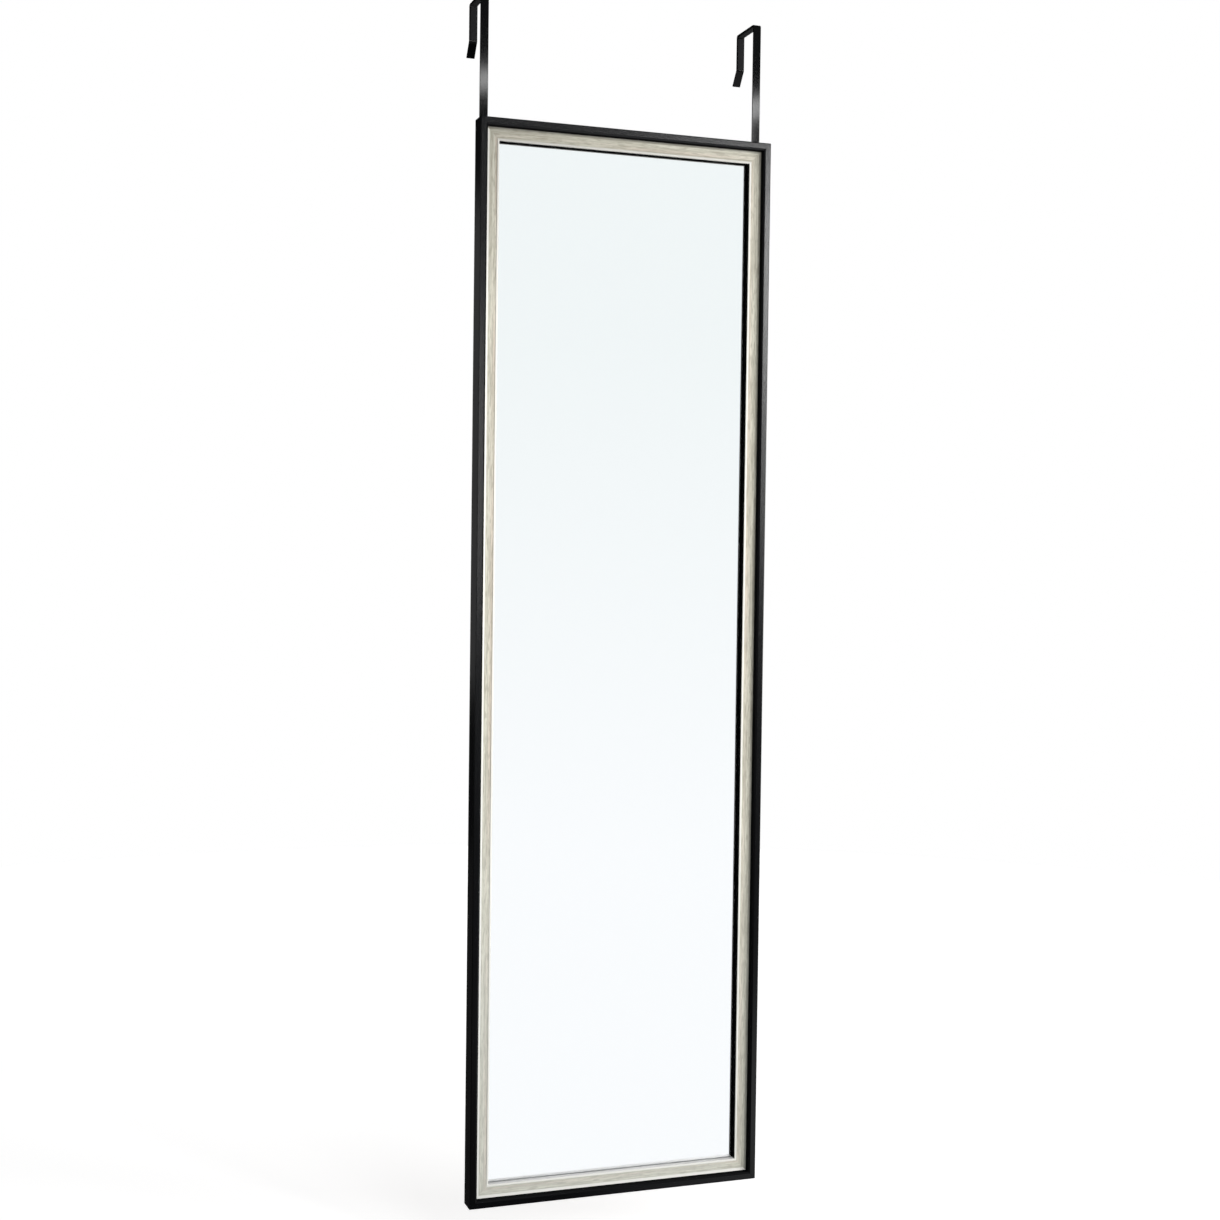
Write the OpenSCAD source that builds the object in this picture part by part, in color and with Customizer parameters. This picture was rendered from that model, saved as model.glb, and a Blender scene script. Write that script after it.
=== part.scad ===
/* [Frame] */
// Width of the frame across its outer edges
frame_w = 368; // [250:1:600]
// Height of the frame
frame_h = 1283; // [700:1:1900]
// Width of the raised black border, seen from the front
border_w = 9; // [5:0.5:20]
// How far the border's inner wall leans out between its foot and its top
border_draft = 0.8; // [0:0.1:2]
// Height of the border above the flat face of the inlay
border_rise = 8.5; // [3:0.5:15]
// Radius of the border's two front edges
border_edge_r = 1.2; // [0.4:0.1:2]
// Thickness of the lip that carries the inlay and holds the glass
lip_t = 4.5; // [2:0.5:10]
// How far the lip reaches over the rebate
lip_reach = 6.5; // [5:0.5:9]
// Depth left open behind the backing board
back_reserve = 2.5; // [1.5:0.5:10]
// Radius of the moulding's two back edges
back_edge_r = 0.6; // [0.2:0.1:1]

/* [Inlay] */
// Width of the wood-grain inlay
inlay_w = 15.2; // [14:0.1:30]
// Thickness of the inlay at its flat face
inlay_t = 2.5; // [1.5:0.1:5]
// Width of the sloped rim along the inlay's outer edge
inlay_rim_w = 2; // [1:0.1:3]
// Height of that rim above the flat face
inlay_rim_h = 0.8; // [0.2:0.1:2]
// Width of the rounded bead along the sight edge
bead_w = 2.8; // [1.5:0.1:4]
// Height of the bead above the flat face
bead_h = 0.6; // [0.2:0.1:1.2]

/* [Mirror and back] */
// Thickness of the mirror glass
glass_t = 3; // [2:0.5:6]
// Gap all round between the glass and the rebate
glass_gap = 0.5; // [0.2:0.1:2]
// Width of the ground arris along the edges of the glass
glass_arris = 0.4; // [0.1:0.1:0.8]
// Thickness of the card spacer behind the glass
spacer_t = 1.5; // [0.5:0.5:4]
// Thickness of the backing board
board_t = 2.5; // [2:0.5:6]

/* [Corner V-nails] */
// Length of each leg of a V-nail
vnail_leg = 5; // [3:0.5:6]
// Thickness of its steel
vnail_t = 0.6; // [0.4:0.1:1]
// How deep a V-nail stands in the moulding
vnail_h = 7; // [4:0.5:8]
// How far it is driven below the back of the moulding
vnail_set = 0.5; // [0.2:0.1:1.5]
// Moulding left between the outer V-nail and the outer edge of the frame
vnail_edge = 4.6; // [3:0.1:6]
// Moulding left between the inner V-nail and the rebate
vnail_land = 1.5; // [1:0.1:3]

/* [Retaining points] */
// Length of a retaining point
point_l = 14; // [10:0.5:20]
// Width of a retaining point
point_w = 7; // [4:0.5:12]
// Thickness of its steel
point_t = 0.6; // [0.4:0.1:1]
// How far a point is driven into the moulding
point_drive = 6; // [3:0.5:7]
// Length of its sharpened tip
point_tip = 3; // [1:0.5:5]
// Largest distance between two points along one side
point_pitch = 240; // [100:10:400]

/* [Hooks] */
// Width of the steel strap
strap_w = 10; // [8:0.5:14]
// Thickness of the strap
strap_t = 2; // [1.6:0.1:3]
// Inside radius of each bend
bend_r = 1.5; // [0.5:0.1:4]
// Distance from the side of the frame to the near edge of the strap
hook_inset = 5; // [3:0.5:6]
// Height of the bridge's top above the top edge of the frame
hook_rise = 150; // [60:1:250]
// Thickest door that the hooks go over
door_gap = 48; // [20:1:80]
// Length of the straight leg below the top of the door
leg_l = 40; // [20:1:80]
// Length of the kicked-out end of the leg
kick_l = 20; // [8:1:40]
// Angle that the end is kicked away from the door
kick_a = 35; // [10:1:60]

/* [Hook screws] */
// Distance from the top edge of the frame to the upper screw
screw_drop = 26; // [24:1:60]
// Distance between the two screws of a hook
screw_pitch = 20; // [12:1:60]
// Distance from the lower screw to the end of the strap
tail_margin = 9; // [6:0.5:20]
// Length of a screw under and with its countersunk head
screw_l = 12; // [8:1:13]
// Radius of the screw's shank
screw_r = 1.5; // [1:0.1:2]
// Radius of the screw's head
head_r = 2.9; // [2.4:0.1:3.4]
// Depth of the head's cone
head_h = 1.4; // [1:0.1:1.5]
// How far the head sits below the back of the strap
head_set = 0.1; // [0.05:0.05:0.15]
// Radial clearance round each screw
screw_gap = 0.05; // [0.02:0.01:0.2]
// Width of one slot of the cross recess
cross_w = 0.8; // [0.5:0.1:1.2]
// Length of one slot of the cross recess
cross_l = 3; // [2:0.1:3.6]
// Depth of the cross recess
cross_d = 0.9; // [0.5:0.1:1.2]

/* [Foam pads] */
// Thickness of the foam pads inside the hooks
pad_t = 1; // [0.5:0.1:3]
// Bare steel left along each side of a pad
pad_margin = 1; // [0.5:0.1:2]
// Bare steel left between a pad and the bend beside it
pad_end = 0.5; // [0.2:0.1:3]
// Diameter of the round bumpers at the foot of the frame
bumper_d = 12; // [8:0.5:16]
// Radius of the edge of a bumper's free face
bumper_edge_r = 0.5; // [0.2:0.1:0.8]
// Height of each bumper's centre above the foot of the frame
bumper_rise = 32; // [26:1:80]

/* [Hidden] */
$fn = 48;

BLACK = "#1b1c1e";
GLOSS_BLACK = "#0e0e0f";
WASHED_OAK = "#c5c0b0";
SILVERED = "#eef2f6";
CARD = "#b99b6d";
HARDBOARD = "#6f4f35";
STEEL = "#a9abad";
FOAM = "#2b2c2e";
LEFT = -1;
RIGHT = 1;
SPARE = 1; // how far a cutting shape runs past what it cuts
BEND_STEPS = 12; // flats in each bend of a hook
SCREW_POINT = 0.2; // radius of a screw's blunt tip

// Depths, measured back from the front of the border
inlay_depth = border_rise;
shelf_depth = inlay_depth + inlay_t;
glass_depth = shelf_depth + lip_t;
spacer_depth = glass_depth + glass_t;
board_depth = spacer_depth + spacer_t;
point_depth = board_depth + board_t;
frame_d = point_depth + back_reserve;

// Insets, measured in from the outer edge of the frame
foot_inset = border_w + border_draft;
sight_inset = foot_inset + inlay_w;
land_w = sight_inset - lip_reach;
glass_inset = land_w + glass_gap;

// The origin lies midway between the hooks, where the top of the door meets its front face
front_y = -strap_t - frame_d;
top_z = pad_t + strap_t - hook_rise;
bottom_z = top_z - frame_h;
mid_z = (top_z + bottom_z) / 2;

// Places on a hook
leg_y = door_gap + pad_t;
strap_end_z = top_z - screw_drop - screw_pitch - tail_margin;
screw_heights = [top_z - screw_drop, top_z - screw_drop - screw_pitch];
screw_tip = 2 * screw_r;

// The four sides: local X runs along the side, Y goes back and Z goes in towards the glass
module at_bottom() translate([0, front_y, bottom_z]) children();
module at_top() translate([0, front_y, top_z]) rotate([0, 180, 0]) children();
module at_left() translate([-frame_w / 2, front_y, mid_z]) rotate([0, 90, 0]) children();
module at_right() translate([frame_w / 2, front_y, mid_z]) rotate([0, -90, 0]) children();

// A strip of the section below it, drawn as [depth, inset], with a 45 degree mitre at each end
module mitred(length) {
    outline = [
        [-length / 2, 0],
        [length / 2, 0],
        [length / 2 - sight_inset, sight_inset],
        [sight_inset - length / 2, sight_inset],
    ];
    intersection() {
        rotate([90, 0, 90])
            linear_extrude(height = length, center = true)
                children();
        translate([0, frame_d + SPARE, 0])
            rotate([90, 0, 0])
                linear_extrude(height = frame_d + 2 * SPARE)
                    polygon(outline);
    }
}

// Raised border, flat shelf and lip, and the land behind them beside the rebate
module moulding_section() {
    r = border_edge_r;
    b = back_edge_r;
    polygon([
        [r, 0],
        [frame_d - b, 0],
        [frame_d, b],
        [frame_d, land_w - b],
        [frame_d - b, land_w],
        [glass_depth, land_w],
        [glass_depth, sight_inset],
        [shelf_depth, sight_inset],
        [shelf_depth, foot_inset],
        [r, border_w],
        [0, border_w - r],
        [0, r],
    ]);
    translate([r, r]) circle(r);
    translate([r, border_w - r]) circle(r);
    translate([frame_d - b, b]) circle(b);
    translate([frame_d - b, land_w - b]) circle(b);
}

// Flat strip with a sloped rim beside the border and a half-round bead at the sight edge
module inlay_section() {
    bead_r = bead_w / 2;
    bead_depth = inlay_depth - bead_h + bead_r;
    polygon([
        [inlay_depth - inlay_rim_h, foot_inset],
        [shelf_depth, foot_inset],
        [shelf_depth, sight_inset],
        [bead_depth, sight_inset],
        [inlay_depth, sight_inset - bead_r],
        [inlay_depth, foot_inset + inlay_rim_w],
    ]);
    translate([bead_depth, sight_inset - bead_r]) circle(bead_r);
}

// One V-nail at the corner where local X and Z run in along the two sides, or its slit of more height
module v_nail(inset, opening) {
    far = inset + vnail_leg;
    inner = inset + vnail_t;
    translate([0, frame_d - vnail_set + opening, 0])
        rotate([90, 0, 0])
            linear_extrude(height = vnail_h + opening)
                polygon([
                    [inset, inset],
                    [far, inset],
                    [far, inner],
                    [inner, inner],
                    [inner, far],
                    [inset, far],
                ]);
}

module v_nails(opening = 0) {
    for (side = [LEFT, RIGHT])
        for (end = [[bottom_z, 0], [top_z, 1]])
            translate([side * frame_w / 2, front_y, end[0]])
                mirror([side == RIGHT ? 1 : 0, 0, 0])
                    mirror([0, 0, end[1]]) {
                        v_nail(vnail_edge, opening);
                        v_nail(land_w - vnail_leg - vnail_land, opening);
                    }
}

// The slits that the V-nails leave, open to the back of the moulding
module v_nail_slits() v_nails(vnail_set + SPARE);

// The retaining points of one side, spread evenly along its rebate
module points_along(length) {
    run = length - 2 * land_w;
    count = max(2, ceil(run / point_pitch));
    root = land_w - point_drive;
    head = root + point_l;
    for (i = [0 : count - 1])
        translate([(i + 0.5) * run / count - run / 2, point_depth + point_t, 0])
            rotate([90, 0, 0])
                linear_extrude(height = point_t)
                    polygon([
                        [0, root],
                        [point_w / 2, root + point_tip],
                        [point_w / 2, head],
                        [-point_w / 2, head],
                        [-point_w / 2, root + point_tip],
                    ]);
}

// A sheet that lies in the rebate behind the lip
module sheet(depth, thickness) {
    width = frame_w - 2 * glass_inset;
    height = frame_h - 2 * glass_inset;
    translate([-width / 2, front_y + depth, mid_z - height / 2]) cube([width, thickness, height]);
}

function on_circle(centre, r, angle) = centre + r * [cos(angle), sin(angle)];

function bend(centre, r, from, to) = [
    for (i = [0 : BEND_STEPS]) on_circle(centre, r, from + (to - from) * i / BEND_STEPS)
];

// Side view of a hook, with X back and Y up: up the back of the tail and riser, under the bridge,
// down the front of the leg, round the kicked-out end and back along the outside
module hook_outline() {
    out_r = bend_r + strap_t;
    front_bend = [bend_r, pad_t - bend_r];
    back_bend = [leg_y - bend_r, pad_t - bend_r];
    kick_bend = [leg_y + out_r, -leg_l];
    kick_end = 180 + kick_a;
    along_kick = kick_l * [-sin(kick_end), cos(kick_end)];
    polygon(concat(
        [[-strap_t, strap_end_z], [0, strap_end_z]],
        bend(front_bend, bend_r, 180, 90),
        bend(back_bend, bend_r, 90, 0),
        bend(kick_bend, out_r, 180, kick_end),
        [
            on_circle(kick_bend, out_r, kick_end) + along_kick,
            on_circle(kick_bend, bend_r, kick_end) + along_kick,
        ],
        bend(kick_bend, bend_r, kick_end, 180),
        bend(back_bend, out_r, 0, 90),
        bend(front_bend, out_r, 90, 180)
    ));
}

function hook_x(side) = side * (frame_w / 2 - hook_inset - strap_w / 2);

// Countersunk screw that points to the front, with the face of its head at Y = 0
module screw_body(gap) {
    rotate([90, 0, 0])
        rotate_extrude()
            polygon([
                [0, 0],
                [head_r + gap, 0],
                [screw_r + gap, head_h],
                [screw_r + gap, screw_l - screw_tip],
                [SCREW_POINT + gap, screw_l + gap],
                [0, screw_l + gap],
            ]);
}

module screw() {
    difference() {
        screw_body(0);
        for (turn = [0, 90])
            rotate([0, turn, 0])
                translate([-cross_l / 2, -cross_d, -cross_w / 2])
                    cube([cross_l, cross_d + SPARE, cross_w]);
    }
}

module at_screws(side) {
    for (z = screw_heights)
        translate([hook_x(side), -head_set, z])
            children();
}

// The holes for the screws of one hook, open to the back
module screw_holes(side) {
    at_screws(side) {
        screw_body(screw_gap);
        rotate([-90, 0, 0]) cylinder(r = head_r + screw_gap, h = head_set + SPARE);
    }
}

module hook(side) {
    difference() {
        translate([hook_x(side) - strap_w / 2, 0, 0])
            rotate([90, 0, 90])
                linear_extrude(height = strap_w)
                    hook_outline();
        screw_holes(side);
    }
}

module bridge_pad(side) {
    width = strap_w - 2 * pad_margin;
    start = bend_r + pad_end;
    translate([hook_x(side) - width / 2, start, 0])
        cube([width, leg_y - 2 * start, pad_t]);
}

module leg_pad(side) {
    width = strap_w - 2 * pad_margin;
    top = pad_t - bend_r - pad_end;
    foot = pad_end - leg_l;
    translate([hook_x(side) - width / 2, door_gap, foot])
        cube([width, pad_t, top - foot]);
}

module bumper(side) {
    r = bumper_d / 2;
    edge = bumper_edge_r;
    translate([side * (frame_w - land_w) / 2, -strap_t, bottom_z + bumper_rise])
        rotate([-90, 0, 0])
            rotate_extrude() {
                square([r, strap_t - edge]);
                square([r - edge, strap_t]);
                translate([r - edge, strap_t - edge]) circle(edge);
            }
}

module frame_top_rail() {
    color(BLACK) difference() {
        at_top() mitred(frame_w) moulding_section();
        at_top() points_along(frame_w);
        v_nail_slits();
    }
}

module frame_bottom_rail() {
    color(BLACK) difference() {
        at_bottom() mitred(frame_w) moulding_section();
        at_bottom() points_along(frame_w);
        v_nail_slits();
    }
}

module frame_left_stile() {
    color(BLACK) difference() {
        at_left() mitred(frame_h) moulding_section();
        at_left() points_along(frame_h);
        v_nail_slits();
        screw_holes(LEFT);
    }
}

module frame_right_stile() {
    color(BLACK) difference() {
        at_right() mitred(frame_h) moulding_section();
        at_right() points_along(frame_h);
        v_nail_slits();
        screw_holes(RIGHT);
    }
}

module inlay_top() color(WASHED_OAK) at_top() mitred(frame_w) inlay_section();
module inlay_bottom() color(WASHED_OAK) at_bottom() mitred(frame_w) inlay_section();
module inlay_left() color(WASHED_OAK) at_left() mitred(frame_h) inlay_section();
module inlay_right() color(WASHED_OAK) at_right() mitred(frame_h) inlay_section();

// The pane is a slab whose long edges are ground off at 45 degrees
module mirror_glass() {
    width = frame_w - 2 * glass_inset;
    height = frame_h - 2 * glass_inset;
    a = glass_arris;
    function slab(span) = [
        [-span / 2 + a, 0],
        [span / 2 - a, 0],
        [span / 2, a],
        [span / 2, glass_t - a],
        [span / 2 - a, glass_t],
        [-span / 2 + a, glass_t],
        [-span / 2, glass_t - a],
        [-span / 2, a],
    ];
    color(SILVERED)
        translate([0, front_y + glass_depth, mid_z])
            intersection() {
                linear_extrude(height = height, center = true) polygon(slab(width));
                rotate([0, 90, 0]) linear_extrude(height = width, center = true) polygon(slab(height));
            }
}

module card_spacer() color(CARD) sheet(spacer_depth, spacer_t);
module backing_board() color(HARDBOARD) sheet(board_depth, board_t);

module corner_v_nails() color(STEEL) v_nails();

module retaining_points() {
    color(STEEL) {
        at_top() points_along(frame_w);
        at_bottom() points_along(frame_w);
        at_left() points_along(frame_h);
        at_right() points_along(frame_h);
    }
}

module hook_left() color(GLOSS_BLACK) hook(LEFT);
module hook_right() color(GLOSS_BLACK) hook(RIGHT);
module hook_screws_left() color(GLOSS_BLACK) at_screws(LEFT) screw();
module hook_screws_right() color(GLOSS_BLACK) at_screws(RIGHT) screw();
module bridge_pad_left() color(FOAM) bridge_pad(LEFT);
module bridge_pad_right() color(FOAM) bridge_pad(RIGHT);
module leg_pad_left() color(FOAM) leg_pad(LEFT);
module leg_pad_right() color(FOAM) leg_pad(RIGHT);
module bumper_left() color(FOAM) bumper(LEFT);
module bumper_right() color(FOAM) bumper(RIGHT);

frame_top_rail();
frame_bottom_rail();
frame_left_stile();
frame_right_stile();
inlay_top();
inlay_bottom();
inlay_left();
inlay_right();
mirror_glass();
card_spacer();
backing_board();
corner_v_nails();
retaining_points();
hook_left();
hook_right();
hook_screws_left();
hook_screws_right();
bridge_pad_left();
bridge_pad_right();
leg_pad_left();
leg_pad_right();
bumper_left();
bumper_right();
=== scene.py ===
"""Looks of a tall framed mirror that hangs over the top of a door.

The black moulding, the wood-grain inlay, the silvered pane, the back, the steel hooks and the foam
pads are each made by an operator of their own, in metres, round the construction model.
"""

import math

import bmesh
import bpy
from bmesh.types import BMEdge, BMFace, BMVert
from bpy.props import FloatProperty, FloatVectorProperty, PointerProperty
from mathutils import Matrix, Vector


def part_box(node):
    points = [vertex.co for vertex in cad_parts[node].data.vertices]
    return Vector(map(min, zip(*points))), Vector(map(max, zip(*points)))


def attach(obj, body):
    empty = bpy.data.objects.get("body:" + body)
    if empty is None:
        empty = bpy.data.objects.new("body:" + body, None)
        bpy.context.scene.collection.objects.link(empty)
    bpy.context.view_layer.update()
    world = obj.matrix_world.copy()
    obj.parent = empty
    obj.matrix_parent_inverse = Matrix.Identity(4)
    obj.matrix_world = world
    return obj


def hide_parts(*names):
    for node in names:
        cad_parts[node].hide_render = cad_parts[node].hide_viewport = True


bl_info = {
    "name": "Over the door mirror",
    "version": (1, 0, 0),
    "blender": (4, 5, 0),
    "location": "View3D > Sidebar > Door mirror",
    "description": "Builds the finish of a framed mirror that hangs on hooks over a door",
    "category": "Object",
}

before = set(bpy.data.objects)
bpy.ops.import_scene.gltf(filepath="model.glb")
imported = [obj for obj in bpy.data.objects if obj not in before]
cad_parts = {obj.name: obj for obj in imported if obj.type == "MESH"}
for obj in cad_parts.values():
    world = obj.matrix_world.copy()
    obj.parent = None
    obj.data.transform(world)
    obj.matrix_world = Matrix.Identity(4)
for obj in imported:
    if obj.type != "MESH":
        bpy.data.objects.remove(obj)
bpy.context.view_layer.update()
MM = 0.001
X, Y, Z = range(3)
LEFT, RIGHT = -1, 1
SIDES = {"left": LEFT, "right": RIGHT}
# How near counts as one point, as on a cutting plane, and as on a wall of the moulding.
SAME_PLACE, ON_PLANE, NEAR = 1e-6, 1e-7, 0.1 * MM
# Faces that meet at less than this angle are made one, and this much of a normal faces a way.
FLAT, FACING = math.radians(0.5), 0.99
ROUND_STEPS = 48
# The order in which the strips lie on the map of their grain, and how far apart in metres.
GRAIN_ORDER = ("bottom", "top", "left", "right")
GRAIN_PITCH = 2.0


def node_box(*nodes):
    """Lowest and highest corner of one or more construction nodes together."""
    lows, highs = zip(*(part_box(node) for node in nodes))
    low = Vector(min(corner[axis] for corner in lows) for axis in (X, Y, Z))
    high = Vector(max(corner[axis] for corner in highs) for axis in (X, Y, Z))
    return low, high


FRAME_LOW, FRAME_HIGH = node_box("frame_left_stile", "frame_right_stile")
FRAME_SIZE = FRAME_HIGH - FRAME_LOW
FRAME_MIDDLE = (FRAME_LOW + FRAME_HIGH) / 2
SIGHT_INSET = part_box("inlay_left")[1].x - FRAME_LOW.x
FOOT_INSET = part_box("inlay_left")[0].x - FRAME_LOW.x
INLAY_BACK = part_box("inlay_left")[1].y - FRAME_LOW.y
GLASS_LOW, GLASS_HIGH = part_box("mirror_glass")


def length(name, text, default, low, high):
    """A length that a user can change."""
    return FloatProperty(
        name=name, description=text, default=default, min=low, max=high, unit="LENGTH", precision=5
    )


def share(name, text, default):
    """A share from 0 to 1 that a user can change."""
    return FloatProperty(
        name=name, description=text, default=default, min=0.0, max=1.0, subtype="FACTOR"
    )


def angle(name, text, degrees):
    """An angle that a user can change."""
    return FloatProperty(
        name=name, description=text, default=math.radians(degrees), subtype="ANGLE", unit="ROTATION"
    )


def colour(name, text, default):
    """A linear colour that a user can change."""
    return FloatVectorProperty(
        name=name, description=text, default=default, size=3, min=0.0, max=1.0, subtype="COLOR"
    )


class MouldingSettings(bpy.types.PropertyGroup):
    """The raised black border with its lip and rebate."""

    border: length("Border", "Width of the raised border", 9 * MM, 4 * MM, 20 * MM)
    edge_radius: length("Outer edge", "Radius of the outer front edge", 1.2 * MM, 0.2 * MM, 2 * MM)
    slope: length("Slope", "Width of the slope inside the border", 2.0 * MM, 0.2 * MM, 4 * MM)
    slope_drop: length("Slope drop", "How far that slope falls back", 1.5 * MM, 0.2 * MM, 3 * MM)
    back_radius: length("Back edges", "Radius of the two back edges", 0.6 * MM, 0.1 * MM, 1 * MM)
    lip: length("Lip", "Thickness of the lip in front of the glass", 4.5 * MM, 2 * MM, 10 * MM)
    land: length("Land", "Width of the back beside the rebate", 18.5 * MM, 8 * MM, 30 * MM)
    mitre_groove: length("Mitre", "Depth of the groove at each mitre", 0.15 * MM, 0.0, 0.5 * MM)
    black: colour("Black", "Colour of the satin coating", (0.0024, 0.0025, 0.0030))
    roughness: share("Roughness", "Roughness of the satin coating", 0.20)


class InlaySettings(bpy.types.PropertyGroup):
    """The wood-grain strip between the border and the glass."""

    rim: length("Rim", "Width of the sloped rim beside the border", 2 * MM, 0.5 * MM, 4 * MM)
    rim_height: length("Rim height", "Height of the rim", 0.8 * MM, 0.1 * MM, 2 * MM)
    # Painted highlight: the cream line lies on the rim of the bottom and left strips only.
    painted_rim_highlight: length("Rim line", "Width of the cream line on the rim", 3.2 * MM, 0.0, 5 * MM)
    bead: length("Bead", "Width of the rounded bead at the sight edge", 2.6 * MM, 1 * MM, 5 * MM)
    bead_height: length("Bead height", "Height of the bead", 0.6 * MM, 0.1 * MM, 1.5 * MM)
    bead_round: length("Bead round", "Radius of the bead by the glass", 1.1 * MM, 0.2 * MM, 2 * MM)
    bead_foot: length("Bead foot", "Radius of the bead by the wood", 0.55 * MM, 0.1 * MM, 1 * MM)
    # Painted shadow: a darker line on the wood at the foot of the bead.
    groove: length("Groove", "Width of the darker line beside the bead", 1 * MM, 0.0, 2 * MM)
    mitre_groove: length("Mitre", "Depth of the groove at each mitre", 0.06 * MM, 0.0, 0.3 * MM)
    wood: colour("Wood", "Main colour of the wood grain", (0.68, 0.665, 0.555))
    streak: colour("Streaks", "Colour of the darker streaks", (0.33, 0.305, 0.235))
    blush: colour("Blush", "Warm tint beside the bead", (0.66, 0.58, 0.49))
    # Cream of the bead, and of the painted highlight on the rim.
    cream: colour("Cream", "Colour of the bead and the rim", (0.84, 0.825, 0.765))
    # Painted light: the pale sill lies only on the bottom's sight walls and lip back, lit from
    # above, where the other sides are matte black.
    painted_lit_sill: colour("Sill", "Colour of the foil turned in at the bottom", (0.95, 0.94, 0.93))
    # Painted shadow of the border on the top and right strips, darkest at the border.
    painted_shadow: share("Dusk", "Darkening beside the border at the top and the right", 0.80)
    painted_shadow_width: length("Dusk width", "How far that darkening reaches", 3.4 * MM, 0.0, 16 * MM)
    # Painted shade that darkens the inlay toward the top left corner.
    corner_shade: share("Corner shade", "Darkening of the grain toward the top left corner", 0.32)
    # Painted light from the floor below, with a greyer tone: the inlay turns paler toward the foot.
    painted_foot_light: share("Foot fade", "How far the grain fades to a paler grey toward the foot", 0.24)


class MirrorSettings(bpy.types.PropertyGroup):
    """The silvered pane."""

    play: length("Play", "Room between the pane and the lip or the card", 0.05 * MM, 0.0, 0.2 * MM)
    arris: length("Arris", "Width of the ground edges", 0.4 * MM, 0.1 * MM, 1 * MM)
    glass: colour("Glass", "Tint of the glass", (0.985, 0.996, 1.0))
    silver: colour("Silver", "Colour of the silvering", (0.985, 0.99, 0.995))


class BackSettings(bpy.types.PropertyGroup):
    """What lies behind the pane and closes the back."""

    board_edge: length("Board edge", "Softened edge of the board", 0.25 * MM, 0.05 * MM, 1 * MM)
    steel_edge: length("Steel edge", "Softened edge of nails and points", 0.08 * MM, 0.0, 0.2 * MM)
    board: colour("Board", "Colour of the hardboard", (0.165, 0.088, 0.044))
    card: colour("Card", "Colour of the card spacer", (0.38, 0.25, 0.13))
    steel: colour("Steel", "Colour of the zinc-plated steel", (0.60, 0.61, 0.63))


class HookSettings(bpy.types.PropertyGroup):
    """The flat steel hooks and their screws."""

    bend_radius: length("Bend", "Inside radius of each bend", 1.5 * MM, 0.5 * MM, 4 * MM)
    edge_radius: length("Edges", "Radius of the coated edges", 0.35 * MM, 0.05 * MM, 0.8 * MM)
    leg: length("Leg", "Straight leg behind the door", 40 * MM, 20 * MM, 80 * MM)
    kick: length("Kick", "Length of the kicked-out end", 20 * MM, 8 * MM, 40 * MM)
    kick_angle: angle("Kick angle", "Angle of the kicked-out end", 35)
    head_radius: length("Screw head", "Radius of a screw head", 2.9 * MM, 2 * MM, 4 * MM)
    head_depth: length("Countersink", "Depth of the head's cone", 1.4 * MM, 1 * MM, 2 * MM)
    shank_radius: length("Shank", "Radius of a screw's shank", 1.5 * MM, 1 * MM, 2 * MM)
    clearance: length("Clearance", "Gap round a screw", 0.05 * MM, 0.01 * MM, 0.2 * MM)
    black: colour("Black", "Colour of the powder coat", (0.0013, 0.0014, 0.0015))


class FoamSettings(bpy.types.PropertyGroup):
    """The foam pads in the hooks and the bumpers at the foot."""

    corner: length("Corners", "Corner radius of a pad", 1.2 * MM, 0.2 * MM, 3 * MM)
    edge: length("Edges", "Soft edge of a pad", 0.3 * MM, 0.05 * MM, 0.5 * MM)
    bumper_edge: length("Bumper edge", "Soft edge of a bumper", 0.5 * MM, 0.1 * MM, 1 * MM)
    charcoal: colour("Charcoal", "Colour of the foam", (0.013, 0.0135, 0.0145))


class StageSettings(bpy.types.PropertyGroup):
    """The floor, the light and the camera."""

    floor_gap: length("Floor gap", "Height of the frame's foot above the floor", 0.06, 0.0, 1.0)
    floor_radius: length("Floor", "Radius of the floor", 3.0, 1.0, 20.0)
    ambient: FloatProperty(name="Ambient", description="Strength of the room light", default=0.36)
    lens: FloatProperty(
        name="Lens", description="Focal length in millimetres", default=53.02, min=10.0, max=300.0
    )


GROUPS = {
    "moulding": MouldingSettings,
    "inlay": InlaySettings,
    "mirror": MirrorSettings,
    "back": BackSettings,
    "hooks": HookSettings,
    "foam": FoamSettings,
    "stage": StageSettings,
}


class DoorMirrorSettings(bpy.types.PropertyGroup):
    """Every size and colour of the mirror."""

    __annotations__ = {
        name: PointerProperty(type=group, name=name.capitalize()) for name, group in GROUPS.items()
    }


def settings():
    """The mirror's settings in this scene."""
    return bpy.context.scene.door_mirror


# --- Shapes ---


def only(items, kind):
    """Those items that are of one kind."""
    return [item for item in items if isinstance(item, kind)]


def edges_round(faces):
    """The edges of some faces."""
    return [edge for face in faces for edge in face.edges]


def outline(bm, corners, rounds=()):
    """One face through its corners. rounds gives a radius, its number of steps and the corners."""
    verts = [bm.verts.new(corner) for corner in corners]
    bm.faces.new(verts)
    for radius, segments, chosen in rounds:
        rounded(bm, [verts[index] for index in chosen], radius, segments, affect="VERTICES")
    return bm.faces[:]


def drop_inner(bm, faces):
    """Delete those faces that a solid has grown past, which now lie inside it."""
    left = [face for face in faces if face.is_valid]
    inner = [face for face in left if all(len(edge.link_faces) > 2 for edge in face.edges)]
    bmesh.ops.delete(bm, geom=inner, context="FACES_ONLY")


def extruded(bm, faces, step):
    """Pull faces along a step and return them at their new place."""
    made = bmesh.ops.extrude_face_region(bm, geom=faces)["geom"]
    bmesh.ops.translate(bm, verts=only(made, BMVert), vec=step)
    drop_inner(bm, faces)
    return only(made, BMFace)


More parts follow.
